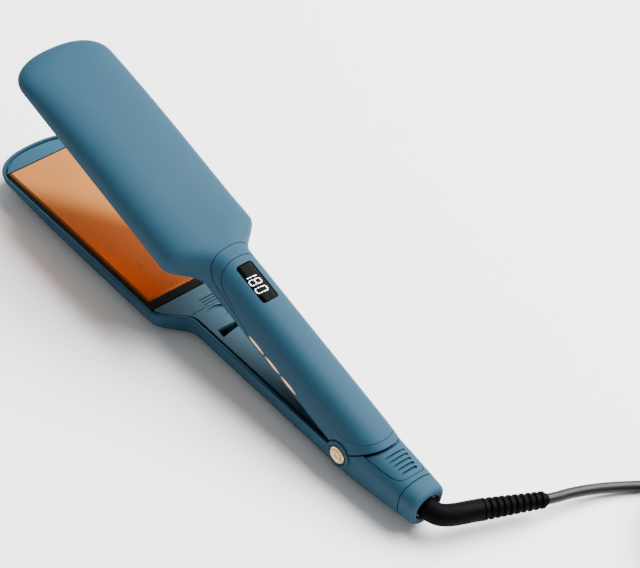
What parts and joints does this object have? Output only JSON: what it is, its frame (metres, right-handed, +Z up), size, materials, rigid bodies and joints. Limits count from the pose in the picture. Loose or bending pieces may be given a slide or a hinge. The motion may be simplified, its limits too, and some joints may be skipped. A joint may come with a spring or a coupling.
{
  "type": "flat iron",
  "caption": "Wide-plate electric hair straightener, hinged open, with floating heater plates, a digital readout, side buttons, a tail lock and a swivelling mains cord",
  "frame": {"origin": "bottom centre of the iron's box, on the surface that it lies on, measured without the cord", "axes": "+X along the iron from the cord end to the plates, +Y toward the side with the buttons, +Z up"},
  "size_m": [0.4321, 0.1769, 0.0852],
  "materials": {
    "body_blue": "soft-touch matte steel-blue moulding",
    "inner_blue": "darker matte blue moulding",
    "black_plastic": "heat-resistant black moulding",
    "copper_plate": "satin copper-coloured coating on aluminium",
    "ceramic": "unglazed ceramic",
    "silicone": "red-brown silicone",
    "gold_trim": "pale copper-gold satin plating",
    "circuit_board": "green glass-fibre board",
    "window_black": "glossy black window with a lit readout",
    "nickel": "nickel-plated brass",
    "steel": "zinc-plated steel",
    "strap": "black hook-and-loop strap",
    "cord_black": "smooth matte black cord jacket",
    "boot_rubber": "satin black moulded rubber",
    "plug_black": "fine-textured black moulding"
  },
  "bodies": {
    "lower_arm": {"lower_shell": "body_blue", "lower_inner_cover": "inner_blue", "lower_cover_screw_1": "steel", "lower_cover_screw_2": "steel", "lower_plate_bezel": "black_plastic", "lower_heater_carrier": "black_plastic", "lower_float_cushion_1": "silicone", "lower_float_cushion_2": "silicone", "tail_housing": "body_blue", "tail_collar": "body_blue", "tail_screw": "steel", "hinge_pin": "steel", "hinge_cap_left": "gold_trim", "hinge_cap_right": "gold_trim", "hinge_spring": "steel", "cord_lead": "cord_black", "cord_coil": "cord_black", "cord_end": "cord_black", "coil_strap": "strap", "plug_body": "plug_black", "plug_relief": "plug_black", "plug_pin_1": "nickel", "plug_pin_2": "nickel"},
    "lower_plate": {"lower_heater_plate": "copper_plate", "lower_ceramic_heater": "ceramic", "thermistor": "ceramic"},
    "upper_arm": {"upper_head_shell": "body_blue", "upper_handle_band": "body_blue", "upper_handle_cover": "body_blue", "display_window": "window_black", "display_module": "black_plastic", "control_board": "circuit_board", "button_board": "circuit_board", "upper_inner_cover": "inner_blue", "upper_cover_screw_1": "steel", "upper_cover_screw_2": "steel", "upper_plate_bezel": "black_plastic", "upper_heater_carrier": "black_plastic", "upper_float_cushion_1": "silicone", "upper_float_cushion_2": "silicone"},
    "upper_plate": {"upper_heater_plate": "copper_plate", "upper_ceramic_heater": "ceramic", "thermal_fuse": "nickel"},
    "power_button": {"button_power": "gold_trim"},
    "plus_button": {"button_plus": "gold_trim"},
    "minus_button": {"button_minus": "gold_trim"},
    "lock": {"lock_slider": "body_blue"},
    "cord_swivel": {"swivel_barrel": "black_plastic", "cord_boot": "boot_rubber"}
  },
  "joints": [
    {"name": "arm_hinge", "type": "hinge", "parent": "lower_arm", "child": "upper_arm", "pos_m": [-0.10002, 0, 0.01513], "axis": [0, -1, 0], "range_deg": [-15.6, 0], "stiffness_Nm_per_rad": 0.9, "springref_deg": 34.38, "deforming": ["hinge_spring"]},
    {"name": "lower_plate_float", "type": "slide", "parent": "lower_arm", "child": "lower_plate", "axis": [0.0122, 0, 0.9999], "range_m": [-0.0008, 0], "stiffness_N_per_m": 4000, "springref_m": 0.0008, "deforming": ["lower_float_cushion_1", "lower_float_cushion_2"]},
    {"name": "upper_plate_float", "type": "slide", "parent": "upper_arm", "child": "upper_plate", "axis": [-0.2571, 0, 0.9664], "range_m": [0, 0.0008], "stiffness_N_per_m": 4000, "springref_m": -0.0008, "deforming": ["upper_float_cushion_1", "upper_float_cushion_2"]},
    {"name": "power_press", "type": "slide", "parent": "upper_arm", "child": "power_button", "axis": [0, -1, 0], "range_m": [0, 0.0005], "stiffness_N_per_m": 1500, "springref_m": -0.0003},
    {"name": "plus_press", "type": "slide", "parent": "upper_arm", "child": "plus_button", "axis": [0, -1, 0], "range_m": [0, 0.0005], "stiffness_N_per_m": 1500, "springref_m": -0.0003},
    {"name": "minus_press", "type": "slide", "parent": "upper_arm", "child": "minus_button", "axis": [0, -1, 0], "range_m": [0, 0.0005], "stiffness_N_per_m": 1500, "springref_m": -0.0003},
    {"name": "lock_slide", "type": "slide", "parent": "lower_arm", "child": "lock", "axis": [0.9999, 0, -0.0122], "range_m": [0, 0.0008]},
    {"name": "cord_swivel_turn", "type": "hinge", "parent": "lower_arm", "child": "cord_swivel", "pos_m": [-0.14504, 0, 0.01368], "axis": [-0.9999, 0, 0.0122], "continuous": true, "deforming": ["cord_lead"]}
  ]
}
